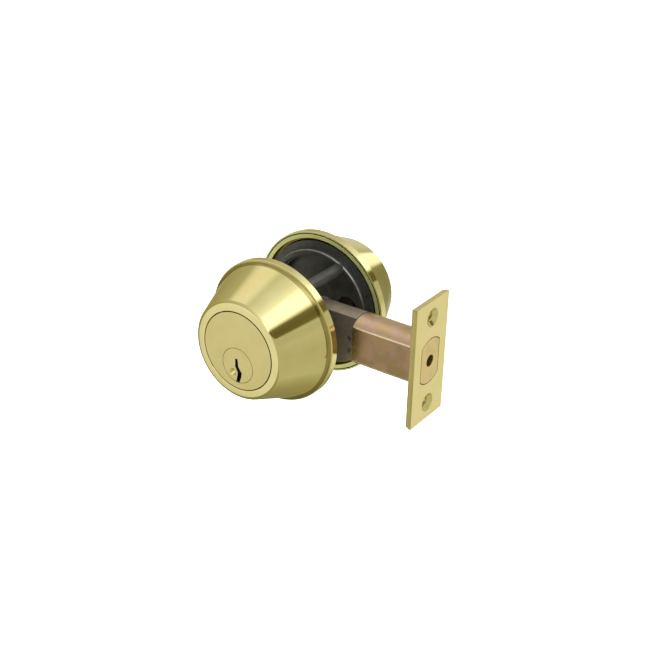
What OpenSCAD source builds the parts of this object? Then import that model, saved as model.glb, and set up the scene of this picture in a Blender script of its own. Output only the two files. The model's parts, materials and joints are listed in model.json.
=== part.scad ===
// Double-cylinder deadbolt: two tapered housings clamp a door between them, each
// holds a pin-tumbler cylinder, and their tailpieces turn a crank that slides the bolt.
// Frame: +X towards the door's edge, +Y from the outside to the inside, +Z up.
// Origin: the centre of the door's cross bore, in the middle of the door.

/* [Door] */
// Thickness of the door between the two housings
door_t = 33; // [32:1:44]
// From the cross bore's centre to the faceplate's front
backset = 70; // [68:1:90]
// Diameter of the door's cross bore
cross_bore_d = 54; // [53.5:0.1:56]

/* [Housing] */
// Radius of the outer housing's rim against the door
outer_rim_r = 33.4; // [32:0.1:40]
// Radius of the inner housing's rim against the door
inner_rim_r = 34.6; // [32:0.1:40]
// Width of the rim's bright outer edge
rim_t = 3.6; // [2:0.1:4]
// Radius of the rounded edge around the housing's face
face_r = 22.8; // [22:0.1:26]
// Depth of the housing from the door to its face
housing_depth = 27; // [26:0.5:34]
// Wall thickness of the housing
housing_wall = 2; // [1.5:0.1:2.5]
// Thickness of the housing's front wall at its face
front_wall = 5; // [4.5:0.1:6]
// Width of the rim's flat ring on the door
rim_ring_w = 3.1; // [2.5:0.1:3.5]

/* [Cylinder] */
// Radius of the cylinder's round head
head_r = 18.1; // [17.5:0.1:19]
// Thickness of the cylinder's head
head_t = 3; // [2.5:0.1:3.5]
// Radius of the cylinder's barrel
barrel_r = 14.3; // [14:0.1:15]
// From the housing's face to the barrel's back
barrel_len = 20.5; // [20:0.1:21]
// How far the plug's axis lies below the housing's axis
plug_drop = 7; // [6.5:0.1:7.2]
// Radius of the plug
plug_r = 6.35; // [6:0.05:6.5]
// Radius of the plug's head
plug_head_r = 8.15; // [7.8:0.05:8.4]
// Thickness of the plug's head
plug_head_t = 2; // [1.8:0.1:2.4]
// Number of pin stacks in a cylinder
pin_count = 5; // [4:1:5]
// Distance between pin stacks
pin_pitch = 3.4; // [3.2:0.1:3.4]
// Radius of the pins
pin_r = 1.4; // [1.2:0.05:1.45]
// Width of the keyway
keyway_w = 1.3; // [1:0.1:1.6]

/* [Mounting plates] */
// Thickness of the mounting plate's floor
plate_floor_t = 1.6; // [1.2:0.1:2]
// Depth of the mounting plate's floor from the door's face
plate_floor_z = 4; // [3.5:0.1:4.4]
// Length of the collar that enters the cross bore
collar_len = 2; // [1.5:0.1:3]
// Sideways place of the upper post
post_x = 11.5; // [10:0.1:12]
// Height of the upper post
post_z = 20.6; // [20:0.1:21]
// Outer radius of the posts
post_r = 3; // [2.9:0.05:3.1]
// Radius of the mounting screws
screw_r = 1.7; // [1.5:0.05:1.8]

/* [Bolt] */
// Radius of the bolt's rounded top and bottom
bolt_r = 10.5; // [10:0.1:11]
// Half of the bolt's width between its flat sides
bolt_half_w = 6.9; // [6.5:0.1:7.2]
// Length of the bolt
bolt_len = 33.6; // [32:0.1:34]
// How far the bolt is thrown
throw = 25.4; // [24:0.1:25.4]
// Half angle that the crank swings through
swing = 57; // [56:0.5:60]
// Wall thickness of the bolt case
case_wall = 0.9; // [0.8:0.1:1.2]
// Half of the tail case's width
tail_half_w = 4.4; // [4.2:0.1:4.6]
// Length of the tail case behind the cross bore's centre
tail_back = 19.5; // [19:0.5:22]

/* [Faceplate] */
// Height of the faceplate
plate_h = 57.15; // [55:0.05:60]
// Width of the faceplate
plate_w = 25.4; // [25:0.1:28.6]
// Thickness of the faceplate
plate_t = 1.7; // [1.5:0.1:2]
// Thickness of the backing plate
backing_t = 1.2; // [1:0.1:1.5]
// Distance between the faceplate's screw holes
plate_screw_gap = 41.3; // [40:0.1:42]
// Radius of the faceplate's screw holes
plate_hole_r = 2.2; // [2:0.05:2.4]

/* [Clearances] */
// Running clearance around the plug
plug_clear = 0.05; // [0.02:0.01:0.1]
// Clearance around the sliding bolt
bolt_clear = 0.2; // [0.15:0.05:0.3]
// Clearance of the fixed parts in each other
fit_clear = 0.15; // [0.1:0.05:0.2]

/* [Hidden] */
$fn = 96;

// Housing profile, measured outwards from the door along the lock's axis
edge_round = 1.4;
rim_bevel = 0.3;
rim_step = 2;
cove_r = 1.6;
ledge_z = 2.6;
cavity_top_z = housing_depth - front_wall;

// Cylinder
head_gap = 0.3;
barrel_back_z = housing_depth - barrel_len;
cover_t = 0.8;
cover_w = 3.6;
cover_y = barrel_r - 1.7;
nut_r = 17.6;
nut_t = 3.4;
plug_head_gap = 0.2;
plug_tail_z = barrel_back_z - 1.8;
clip_t = 0.8;
clip_r = plug_r + 1.4;
clip_groove_r = plug_r - 0.8;
clip_z = barrel_back_z - 0.1 - clip_t;
first_pin = 4.9;
driver_len = 4.8;
shear_gap = 0.06;
pin_bore_clear = 0.07;
key_pin_tip = 0.6;
scallop_r = 2;
blade_w = 5;
blade_t = 1.8;
blade_clear = 0.1;
blade_socket = pin_z(pin_count - 1) - pin_r - pin_bore_clear - 0.15 - plug_tail_z;

// Mounting plates
plate_flange_gap = 1.5;
plate_flange_z = 0.5;
collar_r = cross_bore_d / 2 - 0.4;
collar_wall = 2.2;
recess_r = collar_r - collar_wall;
step_w = 0.9;
plug_window_r = clip_r + 0.9;
window_x = 12.6;
window_half_w = 5.6;
window_top = 5;
window_bottom = -18;
boss_r = 3;
cyl_screw_r = 1.3;
cyl_screw_head_r = 2.5;
cyl_screw_x = 8;
cyl_screw_y = 8;
cyl_screw_grip = 5;
screw_head_r = 3.3;
screw_head_t = 2.2;
post_gap = 0.6;
set_screw_r = 1.25;
set_screw_len = 4.6;
set_screw_z = 1.4;

// Bolt group
case_r = bolt_r + bolt_clear + case_wall;
case_half_w = bolt_half_w + bolt_clear + case_wall;
case_front_x = backset - plate_t - backing_t;
bolt_back_x = backset - bolt_len;
bracket_t = 0.8;
case_back_x = bolt_back_x - bracket_t - 0.6;
neck_len = 1.6;
neck_wall = 0.7;
tail_wall = 1;
tail_in = tail_half_w - tail_wall;
tail_bottom = plug_drop + 4.5;
hub_r = 4;
journal_r = 3.4;
journal_clear = 0.05;
crank_r = throw / (2 * sin(swing));
crank_pin_r = 1.3;
cheek_w = 3;
cheek_in = 1.5;
cheek_out = tail_in - 0.35;
bar_half_t = 1.25;
bar_bottom = hub_r - plug_drop + 0.4;
bar_top = 9;
bar_tongue = 9;
bar_finger = 2.5;
notch_half_w = crank_pin_r + 0.95;
notch_bottom = crank_r * cos(swing) - plug_drop - crank_pin_r - 0.2;
saw_hole_r = 2.7;
saw_pin_r = 2.6;
saw_pin_len = 14;
saw_pin_depth = 7;
bolt_rivet_r = 1.5;
bolt_rivet_x = bolt_back_x + bar_tongue / 2;
bolt_rivet_z = 4.5;
bracket_ear = 7;
rivet_r = 1.1;
rivet_x = case_back_x - 3.5;
leaf_t = 0.5;
leaf_half_w = 2;
leaf_bend_r = 27;
leaf_reach = 18;
anchor_z = bar_bottom - 3.2;
rivet_z = anchor_z + 6;

// Puts a part drawn along the lock's axis (local Z outwards, local Y up) on the outside of the door
module on_outside() {
    translate([0, -door_t / 2, 0]) rotate([90, 0, 0]) children();
}

// The same for the inside, which is the outside's mirror image
module on_inside() {
    mirror([0, 1, 0]) on_outside() children();
}

// A disc, ring or tube from z0 to z1
module tube(r_out, r_in, z0, z1) {
    translate([0, 0, z0]) difference() {
        cylinder(r = r_out, h = z1 - z0);
        if (r_in > 0) translate([0, 0, -1]) cylinder(r = r_in, h = z1 - z0 + 2);
    }
}

// A round with two flat sides, standing in the YZ plane and drawn from x0 to x1
module flatted_round(r, half_w, x0, x1) {
    translate([x0, 0, 0]) intersection() {
        rotate([0, 90, 0]) cylinder(r = r, h = x1 - x0);
        translate([0, -half_w, -r - 1]) cube([x1 - x0, 2 * half_w, 2 * r + 2]);
    }
}

// A rod along Y
module y_rod(r, x, z, y0, y1) {
    translate([x, y1, z]) rotate([90, 0, 0]) cylinder(r = r, h = y1 - y0);
}

// Places of the pin stacks along the lock's axis
function pin_z(i) = housing_depth - first_pin - i * pin_pitch;

// Length of the key pin in stack i
function key_pin_len(i) = [5.2, 6.4, 4.6, 5.8, 4.2][i];

// One pin stack after the other, each with its local Z pointing up from the plug's axis
module each_stack() {
    for (i = [0 : pin_count - 1]) {
        translate([0, -plug_drop, pin_z(i)]) rotate([-90, 0, 0]) {
            $stack = i;
            children();
        }
    }
}

// Places of the two screws between the outer cylinder and its mounting plate
module each_cylinder_screw() {
    for (s = [-1, 1]) translate([s * cyl_screw_x, cyl_screw_y, 0]) children();
}

// Housing: rim, cove, cone and rounded face edge turned in one profile
module housing(rim_r) {
    base_r = rim_r - rim_step;
    base_z = rim_t + cove_r;
    slope = atan2(base_r - face_r, housing_depth - edge_round - base_z);
    cavity_r = base_r - housing_wall / cos(slope);
    cavity_top_r = face_r - housing_wall / cos(slope);
    color("khaki") difference() {
        rotate_extrude() polygon(concat(
            [[0, 0], [rim_r - rim_bevel / 2, 0], [rim_r, rim_bevel / 2], [rim_r, rim_t - rim_bevel],
             [rim_r - rim_bevel, rim_t]],
            [for (a = [15 : 15 : 90]) [base_r + (rim_step - rim_bevel) * (1 - sin(a)), base_z - cove_r * cos(a)]],
            [for (a = [0 : 15 : 90]) [face_r - edge_round * (1 - cos(a)), housing_depth - edge_round * (1 - sin(a))]],
            [[0, housing_depth]]));
        tube(rim_r - rim_ring_w, 0, -1, ledge_z);
        rotate_extrude() polygon([[0, 0], [cavity_r, 0], [cavity_r, ledge_z + 1],
                                  [cavity_top_r, cavity_top_z], [0, cavity_top_z]]);
        tube(head_r + head_gap, 0, housing_depth - head_t, housing_depth + 1);
        tube(barrel_r + fit_clear, 0, 0, housing_depth);
    }
}

module ext_housing() { on_outside() housing(outer_rim_r); }

// The inner housing also has a threaded hole for its set screw, at the bottom of the rim
module int_housing() {
    color("khaki") difference() {
        on_inside() housing(inner_rim_r);
        on_inside() translate([0, -inner_rim_r - 1, set_screw_z]) rotate([-90, 0, 0])
            cylinder(r = set_screw_r + 0.03, h = rim_ring_w + 3);
    }
}

// Cylinder: round head and barrel, bored off centre for the plug, with a row of pin chambers
module cylinder_body() {
    color("khaki") difference() {
        union() {
            tube(head_r, 0, housing_depth - head_t, housing_depth);
            tube(barrel_r, 0, barrel_back_z, housing_depth - head_t);
        }
        translate([0, -plug_drop, 0]) {
            tube(plug_r + plug_clear, 0, 0, housing_depth + 1);
            tube(plug_head_r + plug_head_gap, 0, housing_depth - plug_head_t - 0.1, housing_depth + 1);
        }
        each_stack() cylinder(r = pin_r + pin_bore_clear, h = plug_drop + barrel_r);
        translate([-cover_w / 2, cover_y, barrel_back_z - 1])
            cube([cover_w, 3, housing_depth - head_t - barrel_back_z + 1]);
    }
}

// The outer cylinder is also drilled for the screws that hold its mounting plate
module ext_cylinder() {
    on_outside() color("khaki") difference() {
        cylinder_body();
        each_cylinder_screw() translate([0, 0, barrel_back_z - 1])
            cylinder(r = cyl_screw_r + 0.03, h = cyl_screw_grip + 1.5);
    }
}

module int_cylinder() { on_inside() cylinder_body(); }

// Ring nut that clamps the cylinder's head against the housing's front wall
module cylinder_nut() {
    color("silver") difference() {
        tube(nut_r, barrel_r + 0.03, cavity_top_z - nut_t, cavity_top_z);
        for (a = [45 : 90 : 315]) rotate(a) translate([nut_r - 1.4, -1.25, cavity_top_z - nut_t - 1])
            cube([3, 2.5, 2.4]);
    }
}

module ext_cylinder_nut() { on_outside() cylinder_nut(); }
module int_cylinder_nut() { on_inside() cylinder_nut(); }

// Keyway outline, seen from the front with the plug's axis at the origin
module keyway_shape() {
    w = keyway_w / 2;
    polygon([[-0.7 - w, 3], [-0.7 + w, 3.2], [-0.3 + w, -0.6], [1.5 + w, -3.1], [1.3 + w, -5.2],
             [-0.1 + w, -plug_head_r - 1], [-0.5 - w, -plug_head_r - 1], [0.3 - w, -5.6],
             [0.6 - w, -3.4], [-0.7 - w, -0.9]]);
}

// Plug: head, body with the keyway, pin chambers, groove for its clip and socket for the tailpiece
module plug(side) {
    color("khaki") translate([0, -plug_drop, 0]) difference() {
        union() {
            tube(plug_r, 0, plug_tail_z, housing_depth - 1);
            tube(plug_head_r, 0, housing_depth - plug_head_t, housing_depth);
        }
        translate([0, 0, barrel_back_z + 1.5]) linear_extrude(height = housing_depth)
            mirror([side == "inside" ? 1 : 0, 0]) keyway_shape();
        translate([(side == "inside" ? 1 : -1) * 2.6, -4, housing_depth + 0.9]) sphere(r = scallop_r);
        translate([0, plug_drop, 0]) each_stack()
            translate([0, 0, -1.2]) cylinder(r = pin_r + pin_bore_clear, h = plug_r + 2);
        tube(plug_r + 1, clip_groove_r, clip_z - 0.1, clip_z + clip_t + 0.05);
        translate([-blade_t / 2, -blade_w / 2, plug_tail_z - 1]) cube([blade_t, blade_w, blade_socket + 1]);
    }
}

module ext_plug() { on_outside() plug("outside"); }
module int_plug() { on_inside() plug("inside"); }

// Tailpiece: flat blade from the plug's socket into the crank's hub
module tailpiece() {
    tip = -door_t / 2 + blade_clear * 3;
    color("dimgray") translate([-blade_t / 2, -plug_drop - blade_w / 2, tip])
        cube([blade_t, blade_w, plug_tail_z + blade_socket - tip]);
}

module ext_tailpiece() { on_outside() tailpiece(); }
module int_tailpiece() { on_inside() tailpiece(); }

// Clip that keeps the plug in the cylinder
module plug_clip() {
    color("silver") translate([0, -plug_drop, 0]) difference() {
        tube(clip_r, clip_groove_r + 0.03, clip_z, clip_z + clip_t);
        translate([-clip_groove_r * 0.8, -clip_r - 1, clip_z - 1])
            cube([clip_groove_r * 1.6, clip_r - 1.2, clip_t + 2]);
    }
}

module ext_plug_clip() { on_outside() plug_clip(); }
module int_plug_clip() { on_inside() plug_clip(); }

// Key pins: pointed at the key's side, each ending just below the plug's surface
module key_pins() {
    top = plug_r - shear_gap;
    color("goldenrod") each_stack() translate([0, 0, top - key_pin_len($stack)]) rotate_extrude()
        polygon([[0, 0], [pin_r * 0.45, 0], [pin_r, key_pin_tip], [pin_r, key_pin_len($stack) - 0.15],
                 [pin_r - 0.15, key_pin_len($stack)], [0, key_pin_len($stack)]]);
}

module ext_key_pins() { on_outside() key_pins(); }
module int_key_pins() { on_inside() key_pins(); }

// Driver pins: just above the shear line, held down by their springs
module driver_pins() {
    color("silver") each_stack() translate([0, 0, plug_r + plug_clear + shear_gap]) rotate_extrude()
        polygon([[0, 0], [pin_r - 0.2, 0], [pin_r, 0.2], [pin_r, driver_len], [0, driver_len]]);
}

module ext_driver_pins() { on_outside() driver_pins(); }
module int_driver_pins() { on_inside() driver_pins(); }

// A coil spring swept along a helix, with flattened wire rings joined into one closed solid
module coil_spring(r, wire_r, length, turns) {
    steps = 9;
    sides = 5;
    rings = turns * steps;
    points = [for (i = [0 : rings], j = [0 : sides - 1])
        let (a = 360 * i / steps, b = 360 * j / sides, d = r + wire_r * cos(b))
        [d * cos(a), d * sin(a), wire_r + (length - 2 * wire_r) * i / rings + wire_r * sin(b)]];
    walls = [for (i = [0 : rings - 1], j = [0 : sides - 1])
        let (k = (j + 1) % sides)
        each [[i * sides + j, (i + 1) * sides + j, (i + 1) * sides + k],
              [i * sides + j, (i + 1) * sides + k, i * sides + k]]];
    first_cap = [[for (j = [0 : sides - 1]) j]];
    last_cap = [[for (j = [sides - 1 : -1 : 0]) rings * sides + j]];
    polyhedron(points = points, faces = concat(walls, first_cap, last_cap), convexity = 4);
}

// Pin springs: one on each driver pin, under the cover
module pin_springs() {
    base = plug_r + plug_clear + shear_gap + driver_len;
    color("gainsboro") each_stack() translate([0, 0, base + 0.03])
        coil_spring(pin_r - 0.35, 0.17, cover_y + plug_drop - base - 0.06, 5);
}

module ext_pin_springs() { on_outside() pin_springs(); }
module int_pin_springs() { on_inside() pin_springs(); }

// Cover strip that closes the row of spring chambers
module spring_cover() {
    color("goldenrod") translate([-cover_w / 2 + 0.05, cover_y, barrel_back_z])
        cube([cover_w - 0.1, cover_t, housing_depth - head_t - barrel_back_z - 0.1]);
}

module ext_spring_cover() { on_outside() spring_cover(); }
module int_spring_cover() { on_inside() spring_cover(); }

// Places of the two posts and their screws, on opposite sides of the lock's axis
module each_post() {
    for (s = [-1, 1]) translate([s * post_x, s * post_z, 0]) children();
}

// Mounting plate: stepped ring, collar in the cross bore, recessed floor with its openings
module plate_blank(rim_r) {
    floor_back = plate_floor_z + plate_floor_t;
    flange_r = rim_r - rim_ring_w - plate_flange_gap;
    difference() {
        rotate_extrude() polygon([[recess_r - 1, -0.3], [recess_r, -0.3], [recess_r, -collar_len],
                                  [collar_r - 0.5, -collar_len], [collar_r, 0.5 - collar_len],
                                  [collar_r, plate_flange_z], [collar_r + step_w, plate_flange_z],
                                  [collar_r + step_w, plate_flange_z + 0.4],
                                  [flange_r, plate_flange_z + 0.4], [flange_r, ledge_z],
                                  [recess_r + 1.5, floor_back], [0, floor_back], [0, plate_floor_z],
                                  [recess_r - 1, plate_floor_z]]);
        translate([0, -plug_drop, 0]) tube(plug_window_r, 0, 0, 10);
        translate([window_x, window_top - window_half_w, 1]) cylinder(r = window_half_w, h = 10);
        translate([window_x - window_half_w, window_bottom, 1])
            cube([2 * window_half_w, window_top - window_half_w - window_bottom, 10]);
    }
}

// Outer plate: its posts are short and take the ends of the mounting screws
module ext_mount_plate() {
    on_outside() color("dimgray") difference() {
        union() {
            plate_blank(outer_rim_r);
            each_post() tube(post_r, 0, -collar_len, plate_floor_z + plate_floor_t);
            each_cylinder_screw() tube(boss_r, 0, plate_floor_z + 0.5, barrel_back_z);
        }
        each_post() translate([0, 0, -collar_len - 1]) cylinder(r = screw_r + 0.03, h = collar_len + 10);
        each_cylinder_screw() translate([0, 0, plate_floor_z - 1]) cylinder(r = cyl_screw_r + 0.2, h = 10);
    }
}

// Inner plate: long posts reach through the cross bore to the outer plate
module int_mount_plate() {
    on_inside() color("dimgray") difference() {
        union() {
            plate_blank(inner_rim_r);
            each_post() tube(post_r, 0, collar_len + post_gap - door_t, plate_floor_z + plate_floor_t);
        }
        each_post() translate([0, 0, -door_t]) cylinder(r = screw_r + 0.12, h = door_t + 10);
    }
}

// Screws that hold the outer cylinder to its mounting plate
module ext_cylinder_screws() {
    on_outside() color("silver") each_cylinder_screw() difference() {
        union() {
            tube(cyl_screw_head_r, 0, plate_floor_z - 1.4, plate_floor_z);
            tube(cyl_screw_r, 0, plate_floor_z - 0.1, barrel_back_z + cyl_screw_grip);
        }
        translate([-cyl_screw_head_r - 1, -0.3, plate_floor_z - 2]) cube([2 * cyl_screw_head_r + 2, 0.6, 1.2]);
    }
}

// Set screw that keeps the inner housing on its mounting plate
module int_set_screw() {
    on_inside() color("dimgray") translate([0, 0.3 - inner_rim_r, set_screw_z]) rotate([-90, 0, 0]) difference() {
        cylinder(r = set_screw_r, h = set_screw_len - 0.4);
        translate([0, 0, -1]) cylinder(r = 0.6, h = 2.2, $fn = 6);
    }
}

// Mounting screws: from the inner plate through the posts into the outer plate
module mounting_screws() {
    floor_back = plate_floor_z + plate_floor_t;
    on_inside() color("silver") each_post() difference() {
        union() {
            tube(screw_r, 0, 0.2 - door_t - floor_back, floor_back + 0.1);
            tube(screw_head_r, 0, floor_back, floor_back + screw_head_t);
        }
        for (a = [0, 90]) rotate(a) translate([-1.9, -0.4, floor_back + screw_head_t - 1.2]) cube([3.8, 0.8, 2]);
    }
}

// A plate on the door's edge with the bolt's opening and the two screw holes
module edge_plate(w, h, x0, x1, open_r, open_half_w) {
    difference() {
        translate([x0, -w / 2, -h / 2]) cube([x1 - x0, w, h]);
        flatted_round(open_r, open_half_w, x0 - 1, x1 + 1);
        for (s = [-1, 1]) translate([x0 - 1, 0, s * plate_screw_gap / 2]) rotate([0, 90, 0])
            cylinder(r = plate_hole_r, h = x1 - x0 + 2);
    }
}

// Faceplate: countersunk for flat-head wood screws
module faceplate() {
    sink = 1.5;
    color("khaki") difference() {
        edge_plate(plate_w, plate_h, backset - plate_t, backset,
                   bolt_r + bolt_clear + 0.1, bolt_half_w + bolt_clear + 0.1);
        for (s = [-1, 1]) translate([backset - sink, 0, s * plate_screw_gap / 2]) rotate([0, 90, 0])
            cylinder(r1 = plate_hole_r, r2 = plate_hole_r + 2.1, h = sink + 0.01);
    }
}

// Backing plate: the bolt case is staked into it, and its screw holes are drawn out into necks
module backing_plate() {
    color("tan") {
        edge_plate(plate_w - 0.5, plate_h - 0.5, case_front_x, backset - plate_t,
                   bolt_r + bolt_clear, bolt_half_w + bolt_clear);
        for (s = [-1, 1]) translate([case_front_x - neck_len, 0, s * plate_screw_gap / 2]) rotate([0, 90, 0])
            tube(plate_hole_r + neck_wall, plate_hole_r, 0, neck_len);
    }
}

// Bolt case: flat-sided tube around the bolt
module bolt_case() {
    color("tan") difference() {
        flatted_round(case_r, case_half_w, case_back_x, case_front_x);
        flatted_round(bolt_r + bolt_clear, bolt_half_w + bolt_clear, case_back_x - 1, case_front_x + 1);
    }
}

// Tail case: narrow channel around the crank, with an arched top and bearing holes for the crank
module tail_case() {
    color("dimgray") difference() {
        intersection() {
            flatted_round(case_r, tail_half_w, -tail_back, case_back_x);
            translate([-tail_back - 1, -20, -tail_bottom]) cube([tail_back + case_back_x + 2, 40, 40]);
        }
        flatted_round(case_r - tail_wall, tail_in, tail_wall - tail_back, case_back_x + 1);
        translate([tail_wall - tail_back, -tail_in, -20]) cube([case_back_x + tail_back, 2 * tail_in, 20]);
        y_rod(journal_r + journal_clear, 0, -plug_drop, -20, 20);
        for (z = [rivet_z, anchor_z]) y_rod(rivet_r + 0.02, rivet_x, z, -20, 20);
    }
}

// End bracket: closes the case's back around the bolt's bar, with ears riveted inside the tail case
module end_bracket() {
    ear_x = case_back_x - bracket_ear;
    color("silver") difference() {
        union() {
            flatted_round(bolt_r + bolt_clear - 0.05, bolt_half_w + bolt_clear - 0.05, case_back_x,
                          case_back_x + bracket_t);
            for (s = [-1, 1]) translate([ear_x, s * (tail_in - 0.45) - 0.4, anchor_z - 2])
                cube([bracket_ear + 0.1, 0.8, 10.5]);
        }
        translate([case_back_x - 1, -bar_half_t - 0.35, bar_bottom - 0.35])
            cube([bracket_t + 2, 2 * bar_half_t + 0.7, bar_top - bar_bottom + 0.7]);
        for (z = [rivet_z, anchor_z]) y_rod(rivet_r + 0.02, rivet_x, z, -20, 20);
    }
}

// Rivets through the tail case's walls and the bracket's ears
module tail_rivets() {
    color("silver") for (s = [-1, 1]) {
        inner = s > 0 ? tail_in - 1.05 : -tail_half_w;
        outer = s > 0 ? tail_half_w : 1.05 - tail_in;
        y_rod(rivet_r, rivet_x, rivet_z, inner, outer);
    }
}

// Bolt: solid bar with rounded top and bottom, drilled from its end and slotted for its bar
module bolt() {
    color("tan") difference() {
        flatted_round(bolt_r, bolt_half_w, bolt_back_x, backset);
        translate([backset - saw_pin_depth - saw_pin_len, 0, 0]) rotate([0, 90, 0])
            cylinder(r = saw_hole_r, h = 40);
        translate([bolt_back_x - 1, -bar_half_t - 0.05, bar_bottom - 0.05])
            cube([bar_tongue + 1.2, 2 * bar_half_t + 0.1, bar_top - bar_bottom + 0.1]);
        y_rod(bolt_rivet_r + 0.02, bolt_rivet_x, bolt_rivet_z, -20, 20);
    }
}

// Hardened pin inside the bolt, free to spin under a saw
module anti_saw_pin() {
    color("silver") translate([backset - saw_pin_depth - saw_pin_len + 0.1, 0, 0]) rotate([0, 90, 0])
        cylinder(r = saw_pin_r, h = saw_pin_len);
}

// Bar that joins the crank to the bolt, notched for the crank's pin
module bolt_bar() {
    notch_x = -throw / 2;
    bar_back_x = notch_x - notch_half_w - bar_finger;
    color("silver") difference() {
        translate([bar_back_x, -bar_half_t, bar_bottom])
            cube([bolt_back_x + bar_tongue - bar_back_x, 2 * bar_half_t, bar_top - bar_bottom]);
        translate([notch_x - notch_half_w, -5, notch_bottom]) cube([2 * notch_half_w, 10, 20]);
        y_rod(bolt_rivet_r + 0.02, bolt_rivet_x, bolt_rivet_z, -20, 20);
    }
}

// Rivet that holds the bar in the bolt
module bolt_rivet() {
    color("silver") y_rod(bolt_rivet_r, bolt_rivet_x, bolt_rivet_z, -bolt_half_w + 0.1, bolt_half_w - 0.1);
}

// Crank: hub with journals and the tailpieces' slot, and two cheeks that carry the pin
module crank() {
    color("goldenrod") difference() {
        union() {
            y_rod(hub_r, 0, -plug_drop, -cheek_out, cheek_out);
            y_rod(journal_r, 0, -plug_drop, -tail_half_w, tail_half_w);
            translate([0, 0, -plug_drop]) rotate([0, -swing, 0]) for (s = [-1, 1]) {
                y0 = s > 0 ? cheek_in : -cheek_out;
                translate([-cheek_w / 2, y0, 0]) cube([cheek_w, cheek_out - cheek_in, crank_r]);
                y_rod(cheek_w / 2, 0, crank_r, y0, y0 + cheek_out - cheek_in);
            }
        }
        translate([-blade_t / 2 - blade_clear, -20, -plug_drop - blade_w / 2 - blade_clear])
            cube([blade_t + 2 * blade_clear, 40, blade_w + 2 * blade_clear]);
        translate([0, 0, -plug_drop]) rotate([0, -swing, 0]) y_rod(crank_pin_r - 0.3, 0, crank_r, -20, 20);
    }
}

// Pin between the crank's cheeks, which pushes the bar
module crank_pin() {
    color("silver") translate([0, 0, -plug_drop]) rotate([0, -swing, 0]) union() {
        y_rod(crank_pin_r, 0, crank_r, -cheek_in, cheek_in);
        y_rod(crank_pin_r - 0.32, 0, crank_r, -cheek_out, cheek_out);
    }
}

// Leaf spring that drags on the bar and keeps the bolt where it is put
module drag_spring() {
    arc = asin(leaf_reach / 2 / leaf_bend_r);
    color("gainsboro") difference() {
        union() {
            translate([rivet_x - leaf_reach / 2, leaf_half_w, anchor_z - leaf_bend_r * cos(arc) + rivet_r + 0.2])
                rotate([90, 0, 0]) rotate([0, 0, 90 - arc]) rotate_extrude(angle = 2 * arc)
                    translate([leaf_bend_r - leaf_t, 0]) square([leaf_t, 2 * leaf_half_w]);
            y_rod(rivet_r + leaf_t, rivet_x, anchor_z, -leaf_half_w, leaf_half_w);
        }
        y_rod(rivet_r + 0.03, rivet_x, anchor_z, -20, 20);
    }
}

// Pin through the tail case that the leaf spring is hooked on
module spring_anchor() {
    color("silver") y_rod(rivet_r, rivet_x, anchor_z, -tail_half_w, tail_half_w);
}

ext_housing();
ext_cylinder();
ext_cylinder_nut();
ext_plug();
ext_tailpiece();
ext_plug_clip();
ext_key_pins();
ext_driver_pins();
ext_pin_springs();
ext_spring_cover();
ext_mount_plate();
ext_cylinder_screws();
int_housing();
int_cylinder();
int_cylinder_nut();
int_plug();
int_tailpiece();
int_plug_clip();
int_key_pins();
int_driver_pins();
int_pin_springs();
int_spring_cover();
int_mount_plate();
int_set_screw();
mounting_screws();
faceplate();
backing_plate();
bolt_case();
tail_case();
end_bracket();
tail_rivets();
bolt();
anti_saw_pin();
bolt_bar();
bolt_rivet();
crank();
crank_pin();
drag_spring();
spring_anchor();
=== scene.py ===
import json
import math

import bmesh
import bpy
from mathutils import Matrix, Vector


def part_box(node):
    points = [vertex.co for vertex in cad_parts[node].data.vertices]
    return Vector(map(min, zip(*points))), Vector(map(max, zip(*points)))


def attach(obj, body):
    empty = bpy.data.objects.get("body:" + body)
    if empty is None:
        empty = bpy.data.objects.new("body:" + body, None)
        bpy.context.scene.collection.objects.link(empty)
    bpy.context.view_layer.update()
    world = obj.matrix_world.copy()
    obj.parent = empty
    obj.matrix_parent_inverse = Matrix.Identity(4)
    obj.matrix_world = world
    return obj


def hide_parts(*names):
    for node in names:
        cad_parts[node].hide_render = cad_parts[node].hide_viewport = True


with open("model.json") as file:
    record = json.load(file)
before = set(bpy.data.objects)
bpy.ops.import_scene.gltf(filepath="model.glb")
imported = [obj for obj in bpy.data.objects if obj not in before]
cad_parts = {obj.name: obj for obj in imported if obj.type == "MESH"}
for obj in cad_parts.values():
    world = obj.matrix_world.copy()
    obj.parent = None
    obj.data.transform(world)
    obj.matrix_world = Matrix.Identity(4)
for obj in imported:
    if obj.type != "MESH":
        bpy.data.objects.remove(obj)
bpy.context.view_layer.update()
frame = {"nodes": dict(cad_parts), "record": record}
NODES = frame["nodes"]
MM = 0.001


# Sizes that the frame gives, in metres. Depths are measured outwards from the door's faces.

def low(node):
    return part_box(node)[0]


def high(node):
    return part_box(node)[1]


DOOR_HALF = -high("ext_housing").y
DEPTH = -low("ext_housing").y - DOOR_HALF
RIM_R = {"ext": high("ext_housing").z, "int": high("int_housing").z}
HEAD_R = high("ext_cylinder").x
CASE_R = high("bolt_case").z
CASE_HALF_W = high("bolt_case").y
SIDES = {"ext": -1, "int": 1}

# Housing, in metres
RIM_T = 3.6 * MM
RIM_RING = 3.1 * MM
RIM_STEP = 2.0 * MM
RIM_BEVEL = 0.3 * MM
COVE = 1.6 * MM
FACE_R = 22.8 * MM
EDGE_ROUND = 1.4 * MM
WALL = 2.16 * MM
FRONT_WALL = 5.0 * MM
LEDGE = 2.6 * MM
HEAD_T = 3.0 * MM
BARREL_HOLE_R = 14.45 * MM
HEAD_HOLE_R = HEAD_R + 0.4 * MM
SHADOW_LINE = 0.1 * MM
GROOVE_IN = 0.75 * MM
GROOVE_W = 0.5 * MM
GROOVE_DEEP = 0.6 * MM


# Node helper and colours

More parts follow.
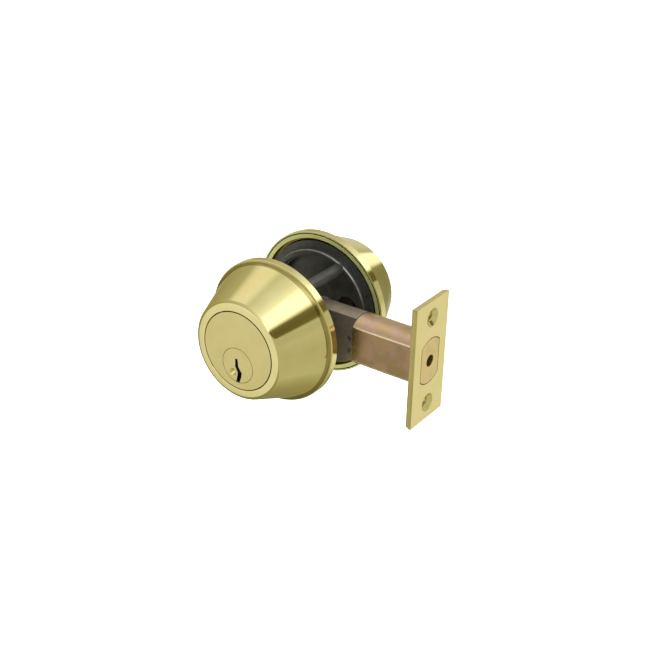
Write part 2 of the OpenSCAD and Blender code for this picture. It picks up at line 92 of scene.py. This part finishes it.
def linear(code):
    """An sRGB hex colour as linear RGBA."""
    parts = [int(code[i:i + 2], 16) / 255 for i in (1, 3, 5)]
    return [p / 12.92 if p <= 0.04045 else ((p + 0.055) / 1.055) ** 2.4 for p in parts] + [1.0]


def add(tree, kind, settings=None, **links):
    """Adds a node. Settings go on the node; links go on its sockets, as values or as other nodes' sockets."""
    node = tree.nodes.new(kind)
    for key, value in (settings or {}).items():
        setattr(node, key, value)
    for key, value in links.items():
        by_number = key[0] == "i" and key[1:].isdigit()
        socket = node.inputs[int(key[1:]) if by_number else key.replace("_", " ")]
        if isinstance(value, bpy.types.NodeSocket):
            tree.links.new(value, socket)
        else:
            socket.default_value = value
    return node


def stops(ramp, *colours):
    """Sets a colour ramp's stops from (position, hex colour) pairs."""
    band = ramp.color_ramp.elements
    while len(band) > 1:
        band.remove(band[-1])
    for i, (place, code) in enumerate(colours):
        stop = band[0] if i == 0 else band.new(place)
        stop.position = place
        stop.color = linear(code)
    return ramp.outputs["Color"]


def new_material(name, metallic=1.0, roughness=0.3, coat=0.0, coat_roughness=0.05):
    """An empty material with its shader, and Object coordinates to draw patterns on."""
    material = bpy.data.materials.new(name)
    material.use_nodes = True
    tree = material.node_tree
    tree.nodes.clear()
    shader = add(tree, "ShaderNodeBsdfPrincipled", Metallic=metallic, Roughness=roughness)
    if coat:
        shader.inputs["Coat Weight"].default_value = coat
        shader.inputs["Coat Roughness"].default_value = coat_roughness
    out = add(tree, "ShaderNodeOutputMaterial")
    tree.links.new(shader.outputs[0], out.inputs[0])
    place = add(tree, "ShaderNodeTexCoord").outputs["Object"]
    return material, tree, shader, place


# The part of a noise's range that its tones are spread over
TONE_START = 0.4
TONE_SPREAD = 0.2


def metal_detail(tree, shader, place, tones, tone_mm, rough, grit_mm, grit_depth, stretch=(1, 1, 1)):
    """What most of the metals share: cloudy tones, uneven gloss and a fine grit in the surface."""
    placed = add(tree, "ShaderNodeMapping", Vector=place, Scale=stretch).outputs[0]
    clouds = add(tree, "ShaderNodeTexNoise", Vector=place, Scale=1 / (tone_mm * MM), Detail=4.0,
                 Roughness=0.6)
    tone = stops(add(tree, "ShaderNodeValToRGB", Fac=clouds.outputs[0]),
                 *[(TONE_START + TONE_SPREAD * i / (len(tones) - 1), t) for i, t in enumerate(tones)])
    tree.links.new(tone, shader.inputs["Base Color"])
    gloss = add(tree, "ShaderNodeMapRange", i0=clouds.outputs[0], i1=0.25, i2=0.75, i3=rough[0], i4=rough[1])
    tree.links.new(gloss.outputs[0], shader.inputs["Roughness"])
    grit = add(tree, "ShaderNodeTexNoise", Vector=placed, Scale=1 / (grit_mm * MM), Detail=3.0, Roughness=0.6)
    bump = add(tree, "ShaderNodeBump", Height=grit.outputs[0], Distance=grit_depth * MM, Strength=1.0)
    tree.links.new(bump.outputs[0], shader.inputs["Normal"])
    return tone


def polished_brass():
    # Polished and lacquered yellow brass: mirror-like, greenish gold, with faint buffing marks
    material, tree, shader, place = new_material("polished_lacquered_brass", coat=0.25, coat_roughness=0.04)
    metal_detail(tree, shader, place, ["#E6DB95", "#EBE19D"], 14, (0.05, 0.085), 0.9, 0.0003)
    return material


def cove_painted_shade():
    # Painted shade for the groove behind the rim: darker, olive brass standing in for the shade in that
    # recess, a little rougher
    material, tree, shader, place = new_material("brass_painted_shade_in_groove", coat=0.2)
    metal_detail(tree, shader, place, ["#A89C5A", "#B2A664"], 6, (0.12, 0.2), 0.6, 0.0006)
    return material


def gap_painted_shade():
    # Painted shade: black, matt brass on the walls of narrow gaps and of the keyway
    material, tree, shader, place = new_material("painted_shade_black_in_gaps", metallic=0.3)
    metal_detail(tree, shader, place, ["#1B1A16", "#26241D"], 2, (0.6, 0.75), 0.2, 0.002)
    return material


def satin_brass():
    # Satin brass, fine-brushed: even and soft, without mirror images
    material, tree, shader, place = new_material("satin_brass")
    metal_detail(tree, shader, place, ["#EDE09A", "#F2E7A5"], 9, (0.36, 0.42), 0.25, 0.0012)
    return material


def plate_brass():
    # The faceplate's brass: the same satin, a shade lighter, with fine lengthwise brushing
    material, tree, shader, place = new_material("satin_plate_brass")
    metal_detail(tree, shader, place, ["#EDE09C", "#F1E5A8"], 9, (0.3, 0.36), 0.22, 0.0015, (1, 1, 0.08))
    return material


def ring_brass():
    # The rim's flat face against the door: turned, dull and greenish
    material, tree, shader, place = new_material("turned_greenish_brass", metallic=0.5)
    metal_detail(tree, shader, place, ["#C9CC83", "#D2D38F"], 8, (0.38, 0.48), 0.3, 0.002)
    return material


def raw_brass():
    # Unpolished inner skin of the housing: dull, slightly tarnished
    material, tree, shader, place = new_material("raw_brass_casting")
    metal_detail(tree, shader, place, ["#A8934E", "#BFAA63"], 5, (0.45, 0.6), 0.5, 0.02)
    return material


def dark_zinc():
    # Die-cast zinc alloy with a black conversion coat: dark grey, a little sheen, fine casting skin
    material, tree, shader, place = new_material("black_coated_zinc_casting", metallic=0.7)
    metal_detail(tree, shader, place, ["#50514E", "#5E5F5B"], 7, (0.42, 0.52), 0.45, 0.008)
    return material


def zinc_plate():
    # Bright zinc plate on steel: bluish white with a soft mottle
    material, tree, shader, place = new_material("zinc_plated_steel")
    metal_detail(tree, shader, place, ["#B4B7B5", "#C6C9C9", "#BDBBC4"], 3, (0.24, 0.36), 0.3, 0.002)
    return material


def yellow_chromate():
    # Yellow chromate on zinc-plated steel: tan with mauve and olive interference tints
    material, tree, shader, place = new_material("yellow_chromated_steel")
    tints = ["#CFB48A", "#D6B797", "#CFB09B", "#C4AE82"]
    tone = metal_detail(tree, shader, place, tints, 9, (0.26, 0.36), 0.35, 0.002)
    # Painted shade: the two flat sides are multiplied to a browner, darker tone, picked by the way the
    # surface faces
    facing = add(tree, "ShaderNodeSeparateXYZ", Vector=add(tree, "ShaderNodeTexCoord").outputs["Normal"])
    sideways = add(tree, "ShaderNodeMath", {"operation": "ABSOLUTE"}, i0=facing.outputs["Y"])
    side_shade = add(tree, "ShaderNodeMapRange", i0=sideways.outputs[0], i1=0.85, i2=0.97, i3=0.0, i4=1.0)
    painted_side_shade = add(tree, "ShaderNodeMix", {"data_type": "RGBA", "blend_type": "MULTIPLY"},
                Factor=side_shade.outputs[0], i6=tone, i7=linear("#CDC6B6"))
    tree.links.new(painted_side_shade.outputs[2], shader.inputs["Base Color"])
    return material


def bend_highlight_chromate():
    # Painted highlight along the bend of the bolt case: a pale colour, and a lower roughness
    material, tree, shader, place = new_material("chromate_painted_highlight_at_bend")
    metal_detail(tree, shader, place, ["#E9D8B4", "#F2E6C8"], 3, (0.2, 0.3), 0.3, 0.002)
    return material


def zinc_edge_highlight():
    # Painted highlight on the step edges of the casting: light grey in place of the black coat
    material, tree, shader, place = new_material("zinc_painted_highlight_at_edges")
    metal_detail(tree, shader, place, ["#8C8D88", "#A0A19C"], 2, (0.3, 0.42), 0.3, 0.003)
    return material


def dark_chromate():
    # The same chromate on the darker, drawn tail case
    material, tree, shader, place = new_material("dark_chromated_steel", metallic=0.75)
    metal_detail(tree, shader, place, ["#988D79", "#8C8170", "#948973"], 7, (0.42, 0.55), 0.35, 0.003)
    return material


def bolt_steel():
    # Ground steel bolt in the same yellow chromate, with grinding lines down its length
    material, tree, shader, place = new_material("yellow_chromated_bolt_steel")
    tints = ["#E2CE8E", "#E6D096", "#DCCA8E"]
    metal_detail(tree, shader, place, tints, 6, (0.28, 0.38), 0.2, 0.002, (0.05, 1, 1))
    return material


def black_steel():
    # Oil-blackened steel
    material, tree, shader, place = new_material("blackened_steel", metallic=0.9)
    metal_detail(tree, shader, place, ["#2E2D2C", "#3A3836"], 3, (0.35, 0.5), 0.3, 0.003)
    return material


def spring_steel():
    # Drawn spring wire: bright grey with lengthwise draw marks
    material, tree, shader, place = new_material("spring_steel")
    metal_detail(tree, shader, place, ["#A3A4A2", "#B3B1AC"], 2, (0.22, 0.34), 0.15, 0.001)
    return material


def pin_brass():
    # Machined pin brass: redder than the housing, with turning marks
    material, tree, shader, place = new_material("turned_pin_brass")
    metal_detail(tree, shader, place, ["#D8B562", "#E0C070"], 1.5, (0.2, 0.3), 0.12, 0.001)
    return material


def nickel_silver():
    # Machined nickel silver: warm white metal
    material, tree, shader, place = new_material("turned_nickel_silver")
    metal_detail(tree, shader, place, ["#C4BFB0", "#CFCABC"], 1.5, (0.2, 0.3), 0.12, 0.001)
    return material


def sintered_steel():
    # Sintered steel crank: matt and porous, brownish from its oil
    material, tree, shader, place = new_material("sintered_steel")
    metal_detail(tree, shader, place, ["#8F8168", "#A39272"], 2, (0.45, 0.6), 0.25, 0.012)
    return material


FINISH = {
    "polished_brass": polished_brass(), "brass_face": satin_brass(), "zinc_plated": zinc_plate(),
    "black_steel": black_steel(), "spring_steel": spring_steel(), "pin_brass": pin_brass(),
    "nickel_silver": nickel_silver(), "dark_zinc": dark_zinc(), "chromated_steel": yellow_chromate(),
    "tail_steel": dark_chromate(), "bolt_steel": bolt_steel(), "sintered_steel": sintered_steel(),
}
COVE_SHADE_BRASS = cove_painted_shade()
SHADOWED = gap_painted_shade()
RAW_BRASS = raw_brass()
RING_BRASS = ring_brass()
PLATE_BRASS = plate_brass()
SLOT_OF = {part["node"]: part["material_slot"] for part in frame["record"]["subparts"]}
BODY_OF = {node: body for body, nodes in frame["record"]["behaviour"]["bodies"].items() for node in nodes}


# Modelling helpers
SHARP_ANGLE = math.radians(38)


def piece(name, bm, node, materials=None):
    """Turns a bmesh into a piece that stands for a CAD node: it rides on that node's body, in its finish."""
    mesh = bpy.data.meshes.new(name)
    bm.to_mesh(mesh)
    bm.free()
    for material in materials or [FINISH[SLOT_OF[node]]]:
        mesh.materials.append(material)
    mesh.shade_smooth()
    mesh.set_sharp_from_angle(angle=SHARP_ANGLE)
    obj = bpy.data.objects.new(name, mesh)
    bpy.context.scene.collection.objects.link(obj)
    even = obj.modifiers.new("even_shading", "WEIGHTED_NORMAL")
    even.keep_sharp = True
    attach(obj, BODY_OF[node])
    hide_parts(node)
    return obj


def close_up(bm):
    """Merges the seam and the poles, then points all faces outwards."""
    bmesh.ops.remove_doubles(bm, verts=bm.verts, dist=0.002 * MM)
    bmesh.ops.recalc_face_normals(bm, faces=bm.faces)


def soften(bm, width, angle=35, segments=2):
    """Rounds every edge that is sharper than the angle."""
    edges = [e for e in bm.edges if e.is_manifold and e.calc_face_angle(0) > math.radians(angle)]
    bmesh.ops.bevel(bm, geom=edges, offset=width, offset_type="OFFSET", segments=segments, profile=0.5,
                    affect="EDGES", clamp_overlap=True, material=-1)


def turned(side, outline, steps=144, closed=True):
    """Spins an outline of (radius, depth, rounding) corners round the lock's axis, on one side."""
    bm = bmesh.new()
    corners = [bm.verts.new((r, SIDES[side] * (DOOR_HALF + depth), 0)) for r, depth, _ in outline]
    for a, b in zip(corners, corners[1:] + (corners[:1] if closed else [])):
        bm.edges.new((a, b))
    for corner, (_, _, rounding) in zip(corners, outline):
        if rounding:
            bmesh.ops.bevel(bm, geom=[corner], offset=rounding, offset_type="OFFSET", segments=5,
                            profile=0.5, affect="VERTICES", clamp_overlap=True, material=-1)
    bmesh.ops.spin(bm, geom=bm.verts[:] + bm.edges[:], cent=(0, 0, 0), axis=(0, 1, 0),
                   angle=math.tau, steps=steps, use_merge=True)
    close_up(bm)
    return bm


def refined(name, node, width, angle=35, segments=2, materials=None):
    """A copy of a CAD node with its loose triangles merged and its edges rounded."""
    bm = bmesh.new()
    bm.from_mesh(NODES[node].data)
    bmesh.ops.remove_doubles(bm, verts=bm.verts, dist=0.001 * MM)
    bmesh.ops.dissolve_limit(bm, angle_limit=math.radians(0.5), verts=bm.verts, edges=bm.edges)
    soften(bm, width, angle, segments)
    return piece(name, bm, node, materials)


# Housings: rim, cove, cone and rounded face edge

def housing(name, side):
    rim_r = RIM_R[side]
    base_r = rim_r - RIM_STEP
    base_z = RIM_T + COVE
    cavity_top = DEPTH - FRONT_WALL
    cove = [(base_r + (RIM_STEP - RIM_BEVEL) * (1 - math.sin(a)), base_z - COVE * math.cos(a), 0)
            for a in (math.radians(d) for d in range(0, 91, 15))]
    groove_r = rim_r - GROOVE_IN
    outline = [(rim_r - RIM_RING, 0, 0), (groove_r - GROOVE_W, 0, 0), (groove_r - GROOVE_W, GROOVE_DEEP, 0),
               (groove_r, GROOVE_DEEP, 0), (groove_r, 0, 0), (rim_r, 0, 0.2 * MM),
               (rim_r, RIM_T, 0.25 * MM), *cove,
               (FACE_R, DEPTH, EDGE_ROUND), (HEAD_HOLE_R, DEPTH, 0.2 * MM), (HEAD_HOLE_R, DEPTH - HEAD_T, 0),
               (BARREL_HOLE_R, DEPTH - HEAD_T, 0), (BARREL_HOLE_R, cavity_top, 0),
               (FACE_R - WALL, cavity_top, 0), (base_r - WALL, LEDGE, 0), (rim_r - RIM_RING, LEDGE, 0)]
    bm = turned(side, outline)
    for face in bm.faces:
        middle = face.calc_center_median()
        radius = math.hypot(middle.x, middle.z)
        depth = abs(middle.y) - DOOR_HALF
        inside = depth < cavity_top + MM and radius < rim_r - RIM_RING + 0.1 * MM and face.normal.dot(
            Vector((middle.x, 0, middle.z))) <= 0.0001
        on_door = depth < 0.5 * MM and radius < rim_r - 0.3 * MM
        face.material_index = 2 if on_door else 1 if inside else 0
        # Painted shade: the walls of the rim groove and of the gap round the cylinder head are black
        groove_inner = groove_r - GROOVE_W - SHADOW_LINE
        in_groove = 0.05 * MM < depth < GROOVE_DEEP + SHADOW_LINE and groove_inner < radius
        in_gap = abs(radius - HEAD_HOLE_R) < SHADOW_LINE and depth < DEPTH - SHADOW_LINE
        if in_gap or in_groove and radius < groove_r + SHADOW_LINE:
            face.material_index = 3
        # Painted shade: the cove behind the rim gets the darker groove brass
        if not inside and RIM_T - SHADOW_LINE < depth < base_z and radius < rim_r - 0.4 * MM:
            face.material_index = 4
    return piece(name, bm, side + "_housing", [FINISH["polished_brass"], RAW_BRASS, RING_BRASS, SHADOWED,
                                                COVE_SHADE_BRASS])


for side in SIDES:
    housing(("outer" if side == "ext" else "inner") + "_housing_shell", side)

ROUNDED = {
    "ext_cylinder": 0.12, "int_cylinder": 0.12, "ext_plug": 0.1, "int_plug": 0.1,
    "ext_mount_plate": 0.24, "int_mount_plate": 0.24, "faceplate": 0.32, "backing_plate": 0.2,
    "bolt_case": 0.5, "tail_case": 0.3, "end_bracket": 0.1, "bolt": 0.3, "bolt_bar": 0.15, "crank": 0.2,
    "mounting_screws": 0.15, "ext_cylinder_screws": 0.12, "ext_cylinder_nut": 0.15, "int_cylinder_nut": 0.15,
    "ext_key_pins": 0.2, "int_key_pins": 0.2, "ext_driver_pins": 0.2, "int_driver_pins": 0.2,
    "tail_rivets": 0.1, "bolt_rivet": 0.1, "crank_pin": 0.1, "int_set_screw": 0.1,
}
OTHER_FINISH = {"faceplate": PLATE_BRASS, "backing_plate": PLATE_BRASS,
                "ext_cylinder_nut": FINISH["dark_zinc"], "int_cylinder_nut": FINISH["dark_zinc"]}
FRONT_SKIN = 0.2 * MM
POCKET_DEPTH = 1.6 * MM
POCKET_RADIUS = 1.7 * MM
POCKET_SIDE = 2.6 * MM
POCKET_DROP = 11 * MM


def lock_face_finish(polygon, front, pocket_x=None):
    """Satin on the front skin, polished in the plug's small pocket, painted black shade in the gaps and on
    everything behind the front.
    """
    depth = front - abs(polygon.center.y)
    if depth < FRONT_SKIN:
        return 0
    if pocket_x and depth < POCKET_DEPTH:
        if math.hypot(polygon.center.x - pocket_x, polygon.center.z + POCKET_DROP) < POCKET_RADIUS:
            return 2
    return 1


def plate_finish(polygon):
    """Satin front; polished bevels, countersinks and top edge; painted shade in the darker groove brass on
    the other edges; painted black shade in the bolt opening.
    """
    if FRONT_SLOPE[0] < polygon.normal.x < FRONT_SLOPE[1]:
        return 2
    if abs(polygon.normal.x) > FRONT_SLOPE[0]:
        return 0
    inward = polygon.normal.y * polygon.center.y + polygon.normal.z * polygon.center.z < 0
    if not inward:
        # Painted shade: outer edges other than the top get the darker groove brass
        return 2 if polygon.normal.z > FRONT_SLOPE[1] else 3
    # Painted shade: the walls of the bolt opening are black
    return int(abs(polygon.center.z) < CASE_R)


FRONT_SLOPE = (0.2, 0.97)
BEND_HIGHLIGHT_SLOPE = (CASE_HALF_W / CASE_R + 0.04, 0.985)
# Painted highlights for the bolt case's bend and the mount plates' step edges
EDGE_HIGHLIGHT_PAINT = {"bolt_case": bend_highlight_chromate(), "ext_mount_plate": zinc_edge_highlight()}
EDGE_HIGHLIGHT_PAINT["int_mount_plate"] = EDGE_HIGHLIGHT_PAINT["ext_mount_plate"]
for node, width in ROUNDED.items():
    finishes = [OTHER_FINISH.get(node, FINISH[SLOT_OF[node]]), SHADOWED,
                EDGE_HIGHLIGHT_PAINT.get(node, FINISH["polished_brass"]), COVE_SHADE_BRASS]
    obj = refined(node + "_detailed", node, width * MM, materials=finishes)
    front = max(abs(low(node).y), abs(high(node).y))
    for polygon in obj.data.polygons:
        slant = abs(polygon.normal.y)
        if node in ("ext_cylinder", "int_cylinder"):
            polygon.material_index = lock_face_finish(polygon, front)
        elif node in ("ext_plug", "int_plug"):
            polygon.material_index = lock_face_finish(polygon, front, POCKET_SIDE * SIDES[node[:3]])
        elif node in ("faceplate", "backing_plate"):
            polygon.material_index = plate_finish(polygon)
        elif node == "bolt_case":
            # Painted highlight: the bend of the bolt case gets the pale chromate
            polygon.material_index = 2 if BEND_HIGHLIGHT_SLOPE[0] < slant < BEND_HIGHLIGHT_SLOPE[1] else 0
        # Painted highlight: the mount plates' slanted step faces get the light grey zinc
        elif node in EDGE_HIGHLIGHT_PAINT:
            polygon.material_index = 2 if FRONT_SLOPE[0] < slant < FRONT_SLOPE[1] else 0

for node, obj in NODES.items():
    if not obj.hide_render:
        obj.data.materials.clear()
        obj.data.materials.append(FINISH[SLOT_OF[node]])


# Floor, surroundings and light

def stage_mesh(name, bm, material):
    mesh = bpy.data.meshes.new(name)
    bm.to_mesh(mesh)
    bm.free()
    mesh.materials.append(material)
    obj = bpy.data.objects.new(name, mesh)
    bpy.context.scene.collection.objects.link(obj)
    return obj


def floor_white():
    # Matt white studio paper, lit from below as well, so that it stays white in the shade
    material, tree, shader, place = new_material("white_studio_paper", metallic=0.0, roughness=0.9)
    fibres = add(tree, "ShaderNodeTexNoise", Vector=place, Scale=1 / (4 * MM), Detail=2.0)
    tone = stops(add(tree, "ShaderNodeValToRGB", Fac=fibres.outputs[0]), (0.3, "#F4F4F3"), (0.7, "#F7F7F6"))
    tree.links.new(tone, shader.inputs["Base Color"])
    shader.inputs["Emission Color"].default_value = (1, 1, 1, 1)
    shader.inputs["Emission Strength"].default_value = 0.55
    return material


def backdrop_white():
    # Evenly lit white backdrop
    material, tree, shader, _ = new_material("white_backdrop", metallic=0.0, roughness=1.0)
    shader.inputs["Emission Color"].default_value = (1, 1, 1, 1)
    shader.inputs["Emission Strength"].default_value = 1.2
    return material


FLOOR_DROP = 90 * MM
FLOOR_SIZE = 12
BACKDROP_RADIUS = 11
bm = bmesh.new()
bmesh.ops.create_grid(bm, x_segments=2, y_segments=2, size=FLOOR_SIZE,
                      matrix=Matrix.Translation((0, 0, -RIM_R["int"] - FLOOR_DROP)))
floor = stage_mesh("floor", bm, floor_white())
floor.visible_glossy = False
bm = bmesh.new()
bmesh.ops.create_icosphere(bm, subdivisions=4, radius=BACKDROP_RADIUS)
bmesh.ops.reverse_faces(bm, faces=bm.faces)
backdrop = stage_mesh("backdrop", bm, backdrop_white())
for flag in ("visible_diffuse", "visible_glossy", "visible_shadow", "visible_transmission"):
    setattr(backdrop, flag, False)


def toward(azimuth, elevation):
    """The unit direction from the lock to a place in the studio. Azimuth 0 is before the outer side."""
    a, e = math.radians(azimuth), math.radians(elevation)
    return Vector((math.sin(a) * math.cos(e), -math.cos(a) * math.cos(e), math.sin(e)))


# The studio around the lock: long strips parallel to the lock's axis, as grey tones by the angle round
# that axis, from -180 at the left over -90 (down), 0 (the bolt's side) and 90 (up) to 180
STRIPS = [(-180, "#7C7756"), (-165, "#757046"), (-135, "#6B6845"), (-117, "#656244"), (-103, "#69674B"),
          (-94, "#736C49"), (-84, "#757154"), (-75, "#7C7B61"), (-65, "#87836F"), (-56, "#929080"),
          (-46, "#928F81"), (-16, "#8E8B7C"), (5, "#969389"), (15, "#8F8D82"), (22.5, "#919084"),
          (25, "#524C30"), (33, "#4D482C"), (40.5, "#59523C"), (43, "#A8A8A0"), (48, "#EDEDF3"),
          (66, "#E7E7F3"), (74, "#C4C5C8"), (84, "#B4B5B7"), (99, "#A5A49F"), (109, "#999792"),
          (129, "#97918F"), (148, "#8D8A7B"), (167, "#827E64"), (180, "#7C7756")]
# What the strips' tones are multiplied by, so that the brightest go past white
STRIP_LIGHT = 2
# Extra soft panels: azimuth, elevation, half angles of the full and the faded part, and the light's
# red, green and blue
PANELS = [(-112, 52, 6, 24, (0.35, 0.35, 0.35)), (-24, -12, 19, 36, (0.6, 0.6, 0.76)),
          (-169, -2, 2.5, 5.5, (0.9, 0.9, 0.9)), (-150, -14, 10, 24, (0.3, 0.3, 0.34)),
          (150, -30, 10, 30, (0.3, 0.3, 0.3))]

world = bpy.data.worlds.new("studio")
bpy.context.scene.world = world
world.use_nodes = True
sky = world.node_tree
sky.nodes.clear()
way = add(sky, "ShaderNodeTexCoord").outputs["Generated"]
split = add(sky, "ShaderNodeSeparateXYZ", Vector=way)
turn = add(sky, "ShaderNodeMath", {"operation": "ARCTAN2"}, i0=split.outputs["Z"], i1=split.outputs["X"])
share = add(sky, "ShaderNodeMapRange", i0=turn.outputs[0], i1=-math.pi, i2=math.pi)
ramp = add(sky, "ShaderNodeValToRGB", Fac=share.outputs[0])
total = add(sky, "ShaderNodeMix", {"data_type": "RGBA", "blend_type": "MULTIPLY"}, Factor=1.0)
sky.links.new(stops(ramp, *[((a + 180) / 360, code) for a, code in STRIPS]), total.inputs[6])
total.inputs[7].default_value = (STRIP_LIGHT, STRIP_LIGHT, STRIP_LIGHT, 1)
light = total.outputs[2]
for azimuth, elevation, full, faded, colour in PANELS:
    near = add(sky, "ShaderNodeVectorMath", {"operation": "DOT_PRODUCT"}, i0=way,
               i1=toward(azimuth, elevation))
    glow = add(sky, "ShaderNodeMapRange", {"interpolation_type": "SMOOTHSTEP"}, i0=near.outputs["Value"],
               i1=math.cos(math.radians(faded)), i2=math.cos(math.radians(full)), i3=0.0, i4=1.0)
    light = add(sky, "ShaderNodeMix", {"data_type": "RGBA", "blend_type": "ADD"}, Factor=glow.outputs[0],
                i6=light, i7=(*colour, 1)).outputs[2]
back_light = add(sky, "ShaderNodeBackground", Color=light, Strength=1.0)
sky_out = add(sky, "ShaderNodeOutputWorld")
sky.links.new(back_light.outputs[0], sky_out.inputs[0])

# A soft panel straight above lights the floor
panel = bpy.data.lights.new("overhead_panel", "AREA")
panel.shape = "SQUARE"
panel.size = 3
panel.energy = 60
overhead = bpy.data.objects.new("overhead_panel", panel)
overhead.location = (0, 0, 2.4)
overhead.visible_camera = False
overhead.visible_glossy = False
bpy.context.scene.collection.objects.link(overhead)

# Camera
SENSOR = 36
AZIMUTH, ELEVATION, ROLL = (math.radians(v) for v in (34.78, 27.63, 1.37))
TARGET = Vector((18.2, -0.5, -1.65)) * MM
DISTANCE = 546.5 * MM
camera_data = bpy.data.cameras.new("camera")
camera_data.sensor_width = SENSOR
camera_data.lens = 66.6
camera_data.clip_start = 0.01
camera_data.clip_end = 60
camera = bpy.data.objects.new("camera", camera_data)
bpy.context.scene.collection.objects.link(camera)
back = Vector((math.sin(AZIMUTH) * math.cos(ELEVATION), -math.cos(AZIMUTH) * math.cos(ELEVATION),
               math.sin(ELEVATION)))
right = Vector((math.cos(AZIMUTH), math.sin(AZIMUTH), 0))
up = back.cross(right)
tilted_right = right * math.cos(ROLL) + up * math.sin(ROLL)
tilted_up = up * math.cos(ROLL) - right * math.sin(ROLL)
turn_matrix = Matrix((tilted_right, tilted_up, back)).transposed()
camera.matrix_world = Matrix.Translation(TARGET + back * DISTANCE) @ turn_matrix.to_4x4()
bpy.context.scene.camera = camera
bpy.context.scene.view_settings.view_transform = "Standard"
